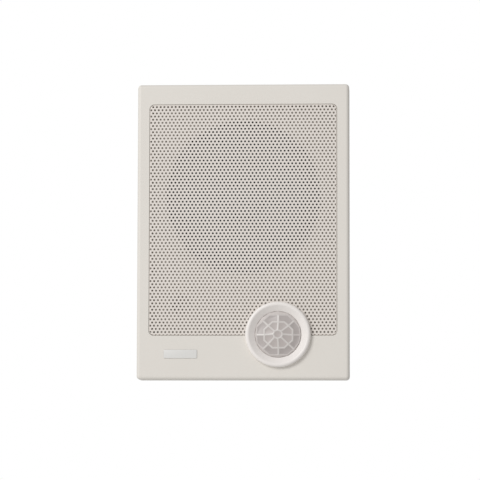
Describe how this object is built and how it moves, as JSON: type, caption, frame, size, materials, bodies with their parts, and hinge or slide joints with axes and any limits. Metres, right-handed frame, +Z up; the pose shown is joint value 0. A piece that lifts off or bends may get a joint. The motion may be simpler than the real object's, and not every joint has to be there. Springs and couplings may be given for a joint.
{
  "type": "wall speaker",
  "caption": "Surface-mounted wall speaker in a moulded white case, with a fine perforated grille, a round motion sensor with a faceted lens, and keyholes at the back.",
  "frame": {"origin": "centre of the back face, on the wall", "axes": "+Z up, +Y into the wall, the grille faces -Y, +X to the right as seen from the front"},
  "size_m": [0.195, 0.0932, 0.272],
  "materials": {
    "case_plastic": "fine satin moulding",
    "grille_paint": "matt powder coat",
    "plate_plastic": "smooth satin",
    "lens_plastic": "milky faceted film",
    "inner_plastic": "plain moulding",
    "soft_rubber": "matt",
    "gasket_foam": "closed-cell foam",
    "cone_paper": "pressed paper pulp",
    "suspension_cloth": "doped cloth",
    "former_film": "smooth film",
    "copper_wire": "enamelled wire",
    "zinc_steel": "zinc plated",
    "ferrite": "dull ceramic",
    "strip_board": "pressed laminate",
    "tinned_brass": "tinned",
    "circuit_board": "solder-resist lacquer",
    "black_plastic": "moulded",
    "terminal_plastic": "moulded",
    "socket_plastic": "moulded",
    "sink_metal": "extruded",
    "lead_sleeve": "soft sleeve"
  },
  "bodies": {
    "cabinet": {"amplifier_chip": "black_plastic", "board_screws": "zinc_steel", "cable_grommet": "soft_rubber", "capacitors": "black_plastic", "driver_basket": "zinc_steel", "driver_gasket": "gasket_foam", "driver_screws": "zinc_steel", "driver_tags": "tinned_brass", "fresnel_lens": "lens_plastic", "front_cover": "case_plastic", "grille": "grille_paint", "heat_sink": "sink_metal", "housing_screws": "zinc_steel", "input_terminals": "terminal_plastic", "lens_retainer": "inner_plastic", "magnet": "ferrite", "main_board": "circuit_board", "name_plate": "plate_plastic", "pole_yoke": "zinc_steel", "pyro_detector": "tinned_brass", "rear_housing": "case_plastic", "sensor_bezel": "case_plastic", "sensor_board": "circuit_board", "sensor_cap": "inner_plastic", "sensor_lead": "lead_sleeve", "sensor_nut": "inner_plastic", "sensor_socket": "socket_plastic", "speaker_leads": "lead_sleeve", "speaker_socket": "socket_plastic", "spider": "suspension_cloth", "surround": "suspension_cloth", "tag_strip": "strip_board", "top_plate": "zinc_steel"},
    "diaphragm": {"cone": "cone_paper", "dust_cap": "cone_paper", "voice_coil_former": "former_film", "voice_coil_winding": "copper_wire"}
  },
  "joints": [
    {"name": "cone_travel", "type": "slide", "parent": "cabinet", "child": "diaphragm", "axis": [0, -1, 0], "range_m": [-0.003, 0.003], "stiffness_N_per_m": 1500, "deforming": ["surround", "spider"]}
  ]
}
